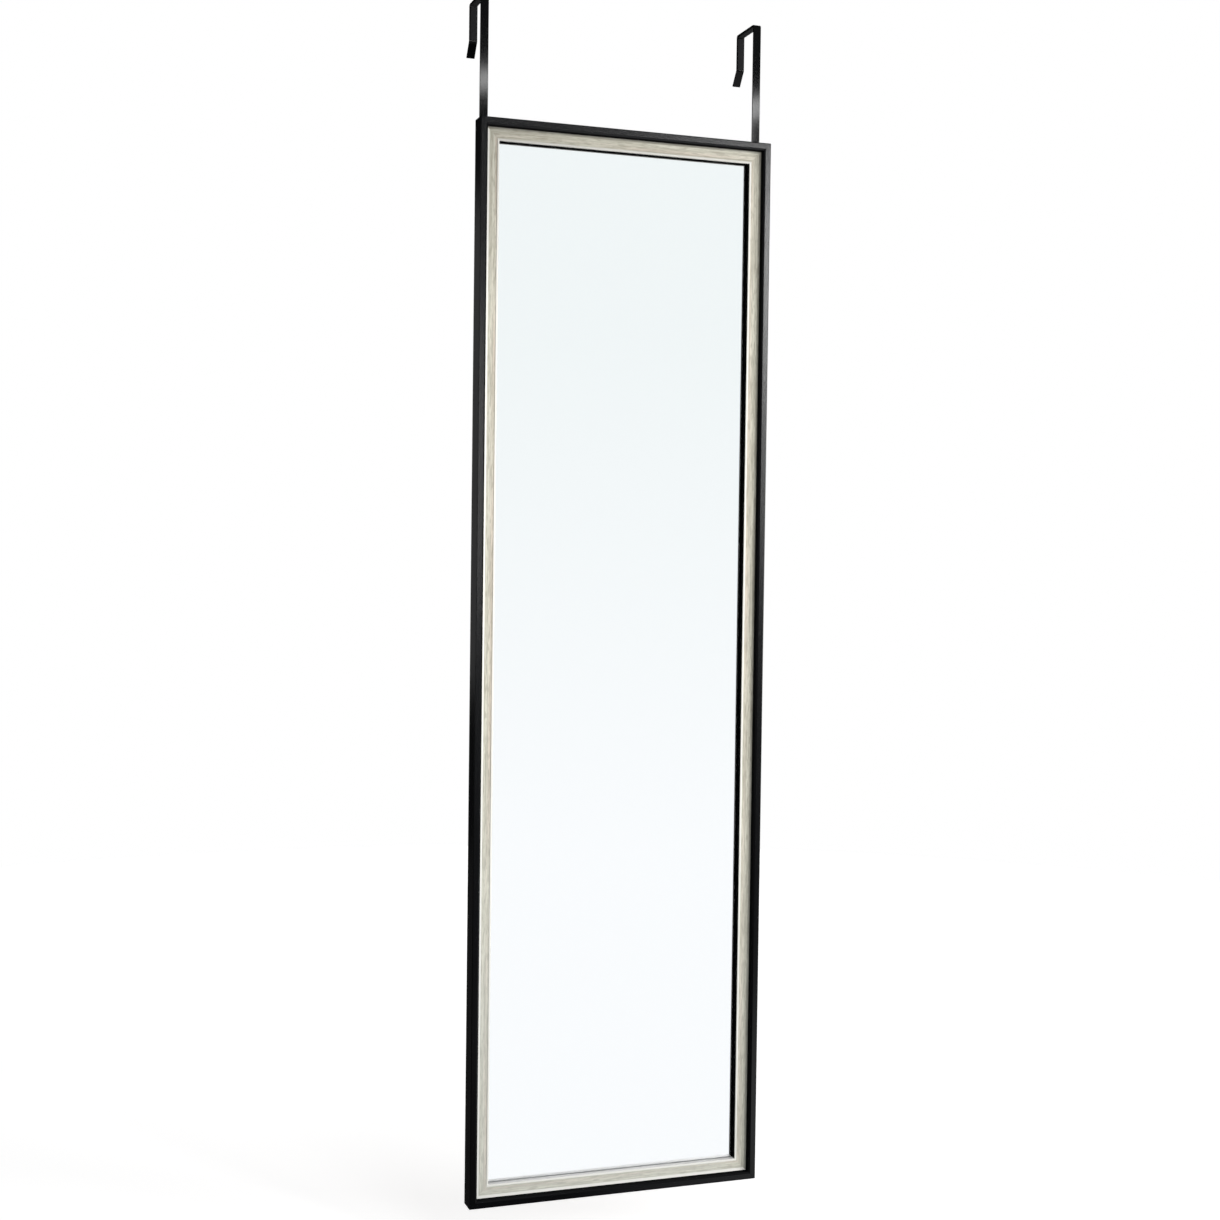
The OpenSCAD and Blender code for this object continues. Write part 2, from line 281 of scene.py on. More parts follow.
def bent(bm, faces, centre, turn, steps=18):
    """Swing faces round an axis along X and return them at their new place."""
    made = bmesh.ops.spin(
        bm, geom=faces, cent=centre, axis=(1, 0, 0), angle=turn, steps=steps, use_merge=False
    )
    drop_inner(bm, faces)
    return only(made["geom_last"], BMFace)


def rounded(bm, geom, radius, segments, affect="EDGES"):
    """Round the given edges, or the given corners of a face."""
    bmesh.ops.bevel(
        bm,
        geom=geom,
        offset=radius,
        offset_type="OFFSET",
        segments=segments,
        profile=0.5,
        affect=affect,
        clamp_overlap=affect == "EDGES",
        material=-1,
    )


def sharp_edges(bm, least=math.radians(40)):
    """The edges at which two faces meet at more than an angle."""
    bm.normal_update()
    joints = [edge for edge in bm.edges if len(edge.link_faces) == 2]
    return [edge for edge in joints if edge.calc_face_angle() > least]


def merged_copy(node):
    """A closed copy of a construction node's loose triangles, with its flat faces made whole."""
    bm = bmesh.new()
    bm.from_mesh(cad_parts[node].data)
    bmesh.ops.remove_doubles(bm, verts=bm.verts, dist=SAME_PLACE)
    bmesh.ops.dissolve_limit(bm, angle_limit=FLAT, verts=bm.verts, edges=bm.edges)
    return bm


def placed(name, data):
    """A new object in the scene."""
    item = bpy.data.objects.new(name, data)
    bpy.context.scene.collection.objects.link(item)
    return item


def new_object(name, bm):
    """An object in the scene from a finished bmesh, with its faces turned outwards."""
    bmesh.ops.recalc_face_normals(bm, faces=bm.faces)
    if bm.calc_volume(signed=True) < 0:
        bmesh.ops.reverse_faces(bm, faces=bm.faces)
    mesh = bpy.data.meshes.new(name)
    bm.to_mesh(mesh)
    bm.free()
    return placed(name, mesh)


def cut_by(piece, cutter):
    """Take the cutter's volume out of a piece for good."""
    cut = piece.modifiers.new("cut", "BOOLEAN")
    cut.operation = "DIFFERENCE"
    cut.solver = "EXACT"
    cut.object = cutter
    evaluated = piece.evaluated_get(bpy.context.evaluated_depsgraph_get())
    bm = bmesh.new()
    bm.from_mesh(evaluated.to_mesh())
    evaluated.to_mesh_clear()
    bmesh.ops.remove_doubles(bm, verts=bm.verts, dist=SAME_PLACE)
    bmesh.ops.dissolve_degenerate(bm, dist=SAME_PLACE, edges=bm.edges)
    bm.to_mesh(piece.data)
    bm.free()
    piece.data.update()
    piece.modifiers.clear()
    bpy.data.objects.remove(cutter)


def within(face, inset):
    """Whether a face lies wholly inside an inset from the frame's outer edge."""
    reach = FRAME_SIZE / 2 - Vector((inset - NEAR, 0, inset - NEAR))
    away = [vert.co - FRAME_MIDDLE for vert in face.verts]
    return all(abs(way.x) < reach.x and abs(way.z) < reach.z for way in away)


def on_lip_back(face):
    """Whether a face is the lip's back, which the glass lies on."""
    return all(abs(vert.co.y - GLASS_LOW.y) < NEAR for vert in face.verts)


def slit_cutter(spare=0.4 * MM):
    """The corner V-nails drawn out past the back of the frame, as solids to cut slits with."""
    bm = merged_copy("corner_v_nails")
    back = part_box("corner_v_nails")[1].y
    ends = [vert for vert in bm.verts if vert.co.y > back - spare]
    bmesh.ops.translate(bm, verts=ends, vec=(0, FRAME_HIGH.y - back + spare, 0))
    return new_object("slit_cutter", bm)


def finished(piece, replaces, crease=math.radians(35)):
    """Smooth a piece up to its creases, hide the nodes it replaces, and fasten it."""
    copied = piece.data.attributes.get("custom_normal")
    if copied:
        piece.data.attributes.remove(copied)
    piece.data.shade_smooth()
    piece.data.set_sharp_from_angle(angle=crease)
    even = piece.modifiers.new("even_normals", "WEIGHTED_NORMAL")
    even.keep_sharp = True
    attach(piece, "root")
    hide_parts(*replaces)
    return piece


def on_side(side):
    """Where a side's own X along it, Y to the back and Z in to the glass lie on the mirror."""
    turn, corner = {
        "bottom": (0, (FRAME_MIDDLE.x, FRAME_LOW.y, FRAME_LOW.z)),
        "top": (180, (FRAME_MIDDLE.x, FRAME_LOW.y, FRAME_HIGH.z)),
        "left": (90, (FRAME_LOW.x, FRAME_LOW.y, FRAME_MIDDLE.z)),
        "right": (-90, (FRAME_HIGH.x, FRAME_LOW.y, FRAME_MIDDLE.z)),
    }[side]
    return Matrix.Translation(corner) @ Matrix.Rotation(math.radians(turn), 4, "Y")


def map_grain(bm, side):
    """Map a strip along its grain, in metres, at its own place on the map."""
    grain = bm.loops.layers.uv.new("along_grain")
    start = GRAIN_PITCH * GRAIN_ORDER.index(side)
    for face in bm.faces:
        for loop in face.loops:
            place = loop.vert.co
            loop[grain].uv = (place.x + start, place.z)


def mitred_strip(side, section, rounds, groove):
    """A strip along one side, from a section of (depth, inset) corners, mitred at both ends."""
    half = (FRAME_SIZE.x if side in ("top", "bottom") else FRAME_SIZE.z) / 2
    bm = bmesh.new()
    faces = outline(bm, [(-half, depth, inset) for depth, inset in section], rounds)
    extruded(bm, faces, (2 * half, 0, 0))
    ends = []
    for end in (LEFT, RIGHT):
        cut = bmesh.ops.bisect_plane(
            bm,
            geom=bm.verts[:] + bm.edges[:] + bm.faces[:],
            dist=ON_PLANE,
            plane_co=(end * half, 0, 0),
            plane_no=(end, 0, 1),
            clear_outer=True,
        )
        rim = only(cut["geom_cut"], BMEdge)
        bmesh.ops.holes_fill(bm, edges=rim, sides=0)
        ends += rim
    if groove:
        rounded(bm, [edge for edge in ends if edge.is_valid], groove, segments=1)
    map_grain(bm, side)
    bm.transform(on_side(side))
    return bm


# --- Finishes ---

FINISH = "_finish"
# The Mix node's two colours and its mixed one, by the numbers of their sockets.
FIRST, SECOND, MIX = 6, 7, 2
# Noise lies round its middle, and at a contrast of 1 this much of it fills the whole range.
NOISE_MIDDLE, NOISE_SPREAD = 0.5, 0.2
# Colour of the painted shade and painted shadow on the inlay.
PAINTED_SHADE = (0.02, 0.018, 0.015)
# Colour toward which painted light from the floor turns the foot of the inlay.
PAINTED_FLOOR_LIGHT = (0.86, 0.92, 0.90)
RUBBED = (0.12, 0.12, 0.125)
FOAM_CELLS = 2200.0

# Streaks in the wood: their length, width, threshold and softness, and how strongly they show.
WOOD_STREAKS = {
    "bands": (110 * MM, 3.4 * MM, 0.50, 0.12, 0.42),
    "fine": (40 * MM, 1.2 * MM, 0.53, 0.10, 0.42),
    "flecks": (16 * MM, 2.1 * MM, 0.56, 0.06, 0.55),
    "pores": (10 * MM, 0.7 * MM, 0.60, 0.04, 0.50),
}
# Between which places on the mirror, in metres, painted shade darkens the top left corner, and
# painted light from the floor turns the foot paler and greyer.
CORNER_RISE, CORNER_REACH = (-0.38, -0.15), (0.22, -0.17)
FOOT_FALL, FOOT_REACH = (-0.85, -1.2), (0.16, 0.13)
# How far from the bead its blush starts and is full, and over what width the cream comes in.
BLUSH_START, BLUSH_FULL = 6 * MM, 2 * MM
BEAD_FADE, LINE_FADE = 0.1 * MM, 0.3 * MM


def adder(tree):
    """A function that adds a shader node with its settings and links or sets its inputs."""

    def add(kind, inputs=None, **options):
        node = tree.nodes.new(kind)
        for name, value in options.items():
            setattr(node, name, value)
        for name, value in (inputs or {}).items():
            if isinstance(value, bpy.types.NodeSocket):
                tree.links.new(value, node.inputs[name])
            else:
                node.inputs[name].default_value = value
        return node

    return add


def opaque(rgb, factor=1.0):
    """An opaque colour, made paler or darker by a factor."""
    return (*(Vector(rgb) * factor), 1.0)


def maths(add, operation, first, second=0.0):
    """The result of one operation on two values."""
    return add("ShaderNodeMath", {0: first, 1: second}, operation=operation).outputs[0]


def times(add, value, factor):
    return maths(add, "MULTIPLY", value, factor)


def spread(add, value, start, end, low=0.0, high=1.0, **options):
    """A value drawn from low, where another is at its start, to high, where that is at its end."""
    inputs = {"Value": value, "From Min": start, "From Max": end, "To Min": low, "To Max": high}
    return add("ShaderNodeMapRange", inputs, **options).outputs["Result"]


def mixed(add, fac, first, second):
    """A colour between two others."""
    inputs = {"Factor": fac, FIRST: first, SECOND: second}
    return add("ShaderNodeMix", inputs, data_type="RGBA").outputs[MIX]


def tinted(add, tone, tint, mask, strength):
    """A colour drawn toward a tint where a mask is set."""
    return mixed(add, times(add, mask, strength), tone, tint)


def bump(add, height, distance):
    inputs = {"Height": height, "Distance": distance}
    return add("ShaderNodeBump", inputs).outputs["Normal"]


def apart(add, vector):
    """The X, Y and Z of a vector."""
    return add("ShaderNodeSeparateXYZ", {0: vector}).outputs


def object_place(add):
    """Object coordinates, which are metres on the mirror."""
    return add("ShaderNodeTexCoord").outputs["Object"]


def grain_place(add):
    """Metres along and across a strip, with the four strips laid out one after another."""
    return add("ShaderNodeUVMap", uv_map="along_grain").outputs["UV"]


def strip_mask(add, along, *sides):
    """1 on the strips of the given sides and 0 on the others, by where each lies on the map."""
    total = 0.0
    for side in sides:
        middle = GRAIN_PITCH * GRAIN_ORDER.index(side)
        away = maths(add, "ABSOLUTE", maths(add, "SUBTRACT", along, middle))
        inside = maths(add, "LESS_THAN", away, GRAIN_PITCH / 2)
        total = maths(add, "ADD", inside, total)
    return total


def new_group(name, numbers, outputs):
    """A node group that takes a Vector and named numbers, with its adder and both ends."""
    tree = bpy.data.node_groups.new(name, "ShaderNodeTree")
    tree.interface.new_socket("Vector", in_out="INPUT", socket_type="NodeSocketVector")
    for number, default in numbers.items():
        socket = tree.interface.new_socket(number, in_out="INPUT", socket_type="NodeSocketFloat")
        socket.default_value = default
    for output in outputs:
        tree.interface.new_socket(output, in_out="OUTPUT", socket_type="NodeSocketFloat")
    add = adder(tree)
    return tree, add, add("NodeGroupInput").outputs, add("NodeGroupOutput").inputs


def speckle_group():
    """Fine unevenness that is alike in every direction, from grains of a given size."""
    numbers = {"Grain": 1 * MM, "Low": 0.0, "High": 1.0, "Contrast": 1.0}
    tree, add, given, put = new_group("speckle", numbers, ("Value", "Height"))
    scale = maths(add, "DIVIDE", 1.0, given["Grain"])
    inputs = {"Vector": given["Vector"], "Scale": scale, "Detail": 3.0}
    noise = add("ShaderNodeTexNoise", inputs).outputs["Fac"]
    half = maths(add, "DIVIDE", NOISE_SPREAD, given["Contrast"])
    start = maths(add, "SUBTRACT", NOISE_MIDDLE, half)
    end = maths(add, "ADD", NOISE_MIDDLE, half)
    value = spread(add, noise, start, end, given["Low"], given["High"])
    tree.links.new(value, put["Value"])
    tree.links.new(noise, put["Height"])
    return tree


def streak_group():
    """Streaks drawn out along the first coordinate, with their own length and width."""
    numbers = {"Length": 100 * MM, "Width": 1 * MM, "Threshold": 0.5, "Softness": 0.1}
    tree, add, given, put = new_group("streaks", numbers, ("Mask", "Height"))
    inputs = {"X": given["Length"], "Y": given["Width"], "Z": given["Width"]}
    size = add("ShaderNodeCombineXYZ", inputs).outputs[0]
    inputs = {0: given["Vector"], 1: size}
    drawn = add("ShaderNodeVectorMath", inputs, operation="DIVIDE").outputs[0]
    inputs = {"Vector": drawn, "Scale": 1.0, "Detail": 4.0}
    noise = add("ShaderNodeTexNoise", inputs).outputs["Fac"]
    start = maths(add, "SUBTRACT", given["Threshold"], given["Softness"])
    end = maths(add, "ADD", given["Threshold"], given["Softness"])
    mask = spread(add, noise, start, end, interpolation_type="SMOOTHSTEP")
    tree.links.new(mask, put["Mask"])
    tree.links.new(noise, put["Height"])
    return tree


def use_group(add, build, name, inputs):
    """The outputs of a shared node group, which is built the first time."""
    tree = bpy.data.node_groups.get(name) or build()
    return add("ShaderNodeGroup", inputs, node_tree=tree).outputs


def speckle(add, grain, low=0.0, high=1.0, contrast=1.0):
    """Value and height of fine unevenness on a piece."""
    inputs = {"Grain": grain, "Low": low, "High": high, "Contrast": contrast}
    return use_group(add, speckle_group, "speckle", {"Vector": object_place(add), **inputs})


def streaks(add, place, long, wide, threshold, softness):
    """Mask and height of streaks at a place."""
    inputs = {"Length": long, "Width": wide, "Threshold": threshold, "Softness": softness}
    return use_group(add, streak_group, "streaks", {"Vector": place, **inputs})


def material_of(build):
    """A finish by the function that gives its shader's inputs, made once."""
    name = build.__name__ + FINISH
    material = bpy.data.materials.get(name)
    if material:
        return material
    material = bpy.data.materials.new(name)
    material.use_nodes = True
    material.node_tree.nodes.clear()
    add = adder(material.node_tree)
    surface = add("ShaderNodeBsdfPrincipled", build(add)).outputs[0]
    add("ShaderNodeOutputMaterial", {"Surface": surface})
    return material


def satin_black(add):
    """Satin black coating of the moulding, faintly clouded and grained."""
    chosen = settings().moulding
    cloud = speckle(add, grain=90 * MM, contrast=0.8)
    grain = speckle(add, grain=0.7 * MM, low=-0.035, high=0.035)
    return {
        "Base Color": mixed(add, cloud["Value"], opaque(chosen.black), opaque(chosen.black, 1.5)),
        "Roughness": maths(add, "ADD", chosen.roughness, grain["Value"]),
        "Specular IOR Level": 0.32,
        "Normal": bump(add, grain["Height"], distance=0.03 * MM),
    }


def matte_black(add):
    """Matte black paint on the walls inside the border."""
    black = settings().moulding.black
    brushed = speckle(add, grain=1.2 * MM, contrast=1.2)
    return {
        "Base Color": mixed(add, brushed["Value"], opaque(black), opaque(black, 1.3)),
        "Roughness": speckle(add, grain=4 * MM, low=0.72, high=0.84)["Value"],
        "Specular IOR Level": 0.03,
        "Normal": bump(add, brushed["Height"], distance=0.02 * MM),
    }


def wood_tone(add, place, across, layers):
    """The wood's streaked colour, with a blush and a painted shadow line beside the bead."""
    chosen = settings().inlay
    bead_foot, streak = SIGHT_INSET - chosen.bead, opaque(chosen.streak)
    near_bead = spread(add, across, bead_foot - BLUSH_START, bead_foot - BLUSH_FULL)
    flush = streaks(add, place, long=200 * MM, wide=5 * MM, threshold=0.48, softness=0.12)
    tone = tinted(add, opaque(chosen.wood), opaque(chosen.blush), flush["Mask"], near_bead)
    for name, (*_, strength) in WOOD_STREAKS.items():
        tone = tinted(add, tone, streak, layers[name]["Mask"], strength)
    # Painted shadow at the foot of the bead.
    groove = spread(add, across, bead_foot - chosen.groove, bead_foot)
    return tinted(add, tone, streak, groove, strength=0.35)


def cream_edged(add, tone, along, across, fine):
    """A tone with a cream bead at the sight edge, darker on the top strip, and a painted highlight
    in paler cream on the rim of the bottom and left strips.
    """
    chosen = settings().inlay
    bead_foot, highlight_end = SIGHT_INSET - chosen.bead, FOOT_INSET + chosen.painted_rim_highlight
    cream = tinted(add, opaque(chosen.cream), opaque(chosen.wood), fine["Mask"], strength=0.15)
    # Painted shade: the cream is darker on the top strip, whose bead faces down.
    cream = tinted(add, cream, opaque(PAINTED_SHADE), strip_mask(add, along, "top"), strength=0.17)
    bead = spread(add, across, bead_foot - BEAD_FADE, bead_foot + LINE_FADE)
    # Painted highlight on the rim of the bottom and left strips, paler than the cream.
    painted_rim_highlight = spread(add, across, highlight_end + LINE_FADE, highlight_end - LINE_FADE)
    painted_lit_side = strip_mask(add, along, "bottom", "left")
    tone = mixed(add, bead, tone, cream)
    return tinted(add, tone, opaque(chosen.cream, 1.1), painted_rim_highlight, painted_lit_side)


def unevenly_shaded(add, tone, along, across):
    """A tone with painted shadow beside the border on the top and right strips, painted shade
    toward the top left corner, and painted light from the floor that makes the foot paler and
    greyer.
    """
    chosen = settings().inlay
    shaded_side = strip_mask(add, along, "top", "right")
    # Painted shadow of the border on the top and right strips.
    painted_shadow = times(add, spread(add, across, FOOT_INSET + chosen.painted_shadow_width, FOOT_INSET), chosen.painted_shadow)
    tone = tinted(add, tone, opaque(PAINTED_SHADE), painted_shadow, shaded_side)
    way = apart(add, object_place(add))
    # Painted shade toward the top left corner.
    corner = times(add, spread(add, way["Z"], *CORNER_RISE), spread(add, way["X"], *CORNER_REACH))
    tone = tinted(add, tone, opaque(PAINTED_SHADE), corner, chosen.corner_shade)
    # Painted light from the floor, with a greyer tone, toward the foot; half as much on the right
    # strip.
    less_right = spread(add, way["X"], *FOOT_REACH, low=0.5)
    foot = times(add, spread(add, way["Z"], *FOOT_FALL), less_right)
    return tinted(add, tone, opaque(PAINTED_FLOOR_LIGHT), foot, chosen.painted_foot_light)


def washed_oak(add):
    """Pale wood-grain foil, streaked along each strip, cream on its bead, with a painted highlight
    on the rim of two strips and painted shade and light.
    """
    place = grain_place(add)
    along, across = apart(add, place)[:2]
    layers = {name: streaks(add, place, *sizes) for name, (*sizes, _) in WOOD_STREAKS.items()}
    tone = wood_tone(add, place, across, layers)
    tone = cream_edged(add, tone, along, across, layers["fine"])
    return {
        "Base Color": unevenly_shaded(add, tone, along, across),
        "Roughness": spread(add, layers["bands"]["Height"], 0.0, 1.0, low=0.38, high=0.54),
        "Specular IOR Level": 0.45,
        "Normal": bump(add, layers["fine"]["Height"], distance=0.04 * MM),
    }


def painted_lit_foil(add):
    """Pale cream on the bottom's sight walls and lip back, faintly streaked: painted light from
    above, where the other sides are matte black.
    """
    chosen = settings().inlay
    *sizes, _ = WOOD_STREAKS["fine"]
    fine = streaks(add, grain_place(add), *sizes)
    painted_lit_sill, cream = opaque(chosen.painted_lit_sill), opaque(chosen.cream)
    return {
        "Base Color": tinted(add, painted_lit_sill, cream, fine["Mask"], strength=0.3),
        "Roughness": 0.45,
        "Normal": bump(add, fine["Height"], distance=0.02 * MM),
    }


def clear_glass(add):
    """Clear float glass."""
    return {
        "Base Color": opaque(settings().mirror.glass),
        "Roughness": 0.0,
        "IOR": 1.52,
        "Transmission Weight": 1.0,
    }


def silvering(add):
    """Silver on the back of the pane, very slightly clouded."""
    return {
        "Base Color": opaque(settings().mirror.silver),
        "Metallic": 1.0,
        "Roughness": speckle(add, grain=50 * MM, high=0.012)["Value"],
    }


def hardboard(add):
    """Smooth brown hardboard with pressed fibres."""
    board = settings().back.board
    place = object_place(add)
    fibres = streaks(add, place, long=4 * MM, wide=0.9 * MM, threshold=0.55, softness=0.12)
    flecks = speckle(add, grain=1.6 * MM, contrast=1.6)
    cloud = speckle(add, grain=120 * MM, contrast=0.9)
    tone = tinted(add, opaque(board), opaque(board, 1.4), cloud["Value"], strength=0.8)
    tone = tinted(add, tone, opaque(board, 0.6), fibres["Mask"], strength=0.35)
    return {
        "Base Color": tinted(add, tone, opaque(board, 2.0), flecks["Value"], strength=0.34),
        "Roughness": speckle(add, grain=3 * MM, low=0.42, high=0.62)["Value"],
        "Normal": bump(add, flecks["Height"], distance=0.06 * MM),
    }


def brown_card(add):
    """Plain brown card."""
    card = settings().back.card
    place = object_place(add)
    fibres = streaks(add, place, long=3 * MM, wide=0.7 * MM, threshold=0.52, softness=0.15)
    return {
        "Base Color": tinted(add, opaque(card), opaque(card, 0.7), fibres["Mask"], strength=0.4),
        "Roughness": 0.85,
        "Normal": bump(add, fibres["Height"], distance=0.05 * MM),
    }


def zinc_steel(add):
    """Zinc-plated spring steel, rolled and a little dull."""
    steel = settings().back.steel
    place = object_place(add)
    rolled = streaks(add, place, long=6 * MM, wide=0.2 * MM, threshold=0.5, softness=0.3)
    return {
        "Base Color": tinted(add, opaque(steel), opaque(steel, 0.72), rolled["Mask"], strength=0.5),
        "Metallic": 1.0,
        "Roughness": speckle(add, grain=2.5 * MM, low=0.28, high=0.48)["Value"],
        "Normal": bump(add, rolled["Height"], distance=0.02 * MM),
    }


def powder_coat(add):
    """Gloss black powder coat with a fine orange peel."""
    black = settings().hooks.black
    peel = speckle(add, grain=1.3 * MM, low=0.05, high=0.07)
    return {
        "Base Color": mixed(add, peel["Height"], opaque(black), opaque(black, 1.8)),
        "Roughness": peel["Value"],
        "Specular IOR Level": 0.24,
        "Normal": bump(add, peel["Height"], distance=0.002 * MM),
    }


def blackened_steel(add):
    """Black finish of the screws, rubbed through to the steel here and there."""
    black = settings().hooks.black
    worn = speckle(add, grain=0.9 * MM, contrast=2.0)
    return {
        "Base Color": tinted(add, opaque(black), opaque(RUBBED), worn["Value"], strength=0.25),
        "Metallic": 0.6,
        "Roughness": speckle(add, grain=0.6 * MM, low=0.30, high=0.46)["Value"],
        "Normal": bump(add, worn["Height"], distance=0.02 * MM),
    }


def charcoal_foam(add):
    """Closed-cell charcoal foam."""
    charcoal = settings().foam.charcoal
    inputs = {"Vector": object_place(add), "Scale": FOAM_CELLS}
    cells = add("ShaderNodeTexVoronoi", inputs).outputs["Distance"]
    cloud = speckle(add, grain=4 * MM, high=0.4)["Value"]
    tone = mixed(add, cells, opaque(charcoal, 0.6), opaque(charcoal))
    return {
        "Base Color": mixed(add, cloud, tone, opaque(charcoal, 1.6)),
        "Roughness": 0.92,
        "Specular IOR Level": 0.3,
        "Normal": bump(add, cells, distance=0.1 * MM),
    }


def paint(piece, *finishes):
    """Give a piece its finishes, the first of them on every face that names no other."""
    for build in finishes:
        piece.data.materials.append(material_of(build))
    return piece


def dress(node, finish):
    """Give a construction node its finish."""
    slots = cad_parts[node].data.materials
    slots.clear()
    slots.append(material_of(finish))


# --- Operators ---

# Finish slots of a moulding or strip; the last is the painted light at the bottom.
COAT, WALL, LIT_FOIL = 0, 1, 2
MOULDINGS = {
    "top": "frame_top_rail",
    "bottom": "frame_bottom_rail",
    "left": "frame_left_stile",
    "right": "frame_right_stile",
}


class BuildMoulding(bpy.types.Operator):
    """Make the four black mouldings with their border, lip and rebate"""

    bl_idname = "door_mirror.moulding"
    bl_label = "Black moulding"

    def execute(self, context):
        chosen = context.scene.door_mirror.moulding
        depth = FRAME_SIZE.y
        glass = GLASS_LOW.y - FRAME_LOW.y
        section = [
            (0, 0),
            (depth, 0),
            (depth, chosen.land),
            (glass, chosen.land),
            (glass, SIGHT_INSET),
            (glass - chosen.lip, SIGHT_INSET),
            (glass - chosen.lip, FOOT_INSET),
            (chosen.slope_drop, chosen.border),
            (0, chosen.border - chosen.slope),
        ]
        rounds = [(chosen.edge_radius, 6, (0,)), (chosen.back_radius, 5, (1, 2))]
        for side, node in MOULDINGS.items():
            strip = mitred_strip(side, section, rounds, chosen.mitre_groove)
            for face in strip.faces:
                # Painted light: the bottom's sight wall and lip back are pale cream.
                painted_lit = side == "bottom" and (within(face, SIGHT_INSET) or on_lip_back(face))
                bare = WALL if within(face, chosen.border) else COAT
                face.material_index = LIT_FOIL if painted_lit else bare
            piece = new_object(f"{node}_moulding", strip)
            paint(piece, satin_black, matte_black, painted_lit_foil)
            cut_by(piece, slit_cutter())
            finished(piece, replaces=[node], crease=math.radians(20))
        return {"FINISHED"}


class BuildInlay(bpy.types.Operator):
    """Make the four wood-grain strips with their rim and bead"""

    bl_idname = "door_mirror.inlay"
    bl_label = "Wood-grain inlay"

    def execute(self, context):
        chosen = context.scene.door_mirror.inlay
        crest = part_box("inlay_left")[0].y - FRAME_LOW.y
        flat = crest + chosen.rim_height
        bead_top = flat - chosen.bead_height
        section = [
            (crest, FOOT_INSET),
            (INLAY_BACK, FOOT_INSET),
            (INLAY_BACK, SIGHT_INSET),
            (bead_top, SIGHT_INSET),
            (bead_top, SIGHT_INSET - chosen.bead),
            (flat, SIGHT_INSET - chosen.bead),
            (flat, FOOT_INSET + chosen.rim),
        ]
        rounds = [(chosen.bead_round, 6, (3,)), (chosen.bead_foot, 4, (4,))]
        for side in GRAIN_ORDER:
            strip = mitred_strip(side, section, rounds, chosen.mitre_groove)
            for face in strip.faces:
                walled = side != "top" and within(face, SIGHT_INSET)
                face.material_index = WALL if walled else COAT
            # Painted light: the bottom strip's sight wall is pale cream, the left and right ones
            # matte black.
            wall = painted_lit_foil if side == "bottom" else matte_black
            piece = paint(new_object(f"inlay_{side}_strip", strip), washed_oak, wall)
            finished(piece, replaces=[f"inlay_{side}"])
        return {"FINISHED"}


class BuildPane(bpy.types.Operator):
    """Make the glass pane with its silvered back"""

    bl_idname = "door_mirror.pane"
    bl_label = "Silvered pane"

    def execute(self, context):
        chosen = context.scene.door_mirror.mirror
        size = GLASS_HIGH - GLASS_LOW - Vector((0, 2 * chosen.play, 0))
        bm = bmesh.new()
        bmesh.ops.create_cube(bm, size=1)
        bmesh.ops.scale(bm, vec=size, verts=bm.verts)
        bmesh.ops.translate(bm, vec=(GLASS_LOW + GLASS_HIGH) / 2, verts=bm.verts)
        rounded(bm, bm.edges[:], chosen.arris, segments=1)
        bm.normal_update()
        for face in bm.faces:
            face.material_index = int(face.normal.y > FACING)
        pane = paint(new_object("mirror_pane", bm), clear_glass, silvering)
        finished(pane, replaces=["mirror_glass"])
        return {"FINISHED"}


class BuildBack(bpy.types.Operator):
    """Make the hardboard and finish the card, the points and the V-nails"""

    bl_idname = "door_mirror.back"
    bl_label = "Back"

    def execute(self, context):
        chosen = context.scene.door_mirror.back
        board = merged_copy("backing_board")
        rounded(board, board.edges[:], chosen.board_edge, segments=2)
        piece = paint(new_object("backing_hardboard", board), hardboard)
        finished(piece, replaces=["backing_board"])
        dress("card_spacer", brown_card)
        for node in ("retaining_points", "corner_v_nails"):
            steel = merged_copy(node)
            rounded(steel, sharp_edges(steel), chosen.steel_edge, segments=2)
            piece = paint(new_object(f"{node}_steel", steel), zinc_steel)
            finished(piece, replaces=[node])
        return {"FINISHED"}


def hook_strap(side):
    """A flat strap, extruded and bent from the end of its tail to its kicked-out end."""
    chosen = settings().hooks
    low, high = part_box(f"hook_{side}")
    leg_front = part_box(f"leg_pad_{side}")[1].y
    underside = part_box(f"bridge_pad_{side}")[1].z
    thickness = high.z - underside
    inner, outer = chosen.bend_radius, chosen.bend_radius + thickness
    bend_z = underside - inner
    quarter = -math.pi / 2
    back = low.y + thickness
    tail = ((low.x, low.y), (high.x, low.y), (high.x, back), (low.x, back))
    bm = bmesh.new()
    end = outline(bm, [(*corner, low.z) for corner in tail])
    end = extruded(bm, end, (0, 0, bend_z - low.z))
    end = bent(bm, end, (0, inner, bend_z), quarter)
    end = extruded(bm, end, (0, leg_front - 2 * inner, 0))
    end = bent(bm, end, (0, leg_front - inner, bend_z), quarter)
    end = extruded(bm, end, (0, 0, -chosen.leg - bend_z))
    end = bent(bm, end, (0, leg_front + outer, -chosen.leg), chosen.kick_angle, steps=10)
    away = (0, math.sin(chosen.kick_angle), -math.cos(chosen.kick_angle))
    extruded(bm, end, chosen.kick * Vector(away))
    bmesh.ops.recalc_face_normals(bm, faces=bm.faces)
    rounded(bm, sharp_edges(bm), chosen.edge_radius, segments=4)
    return bm


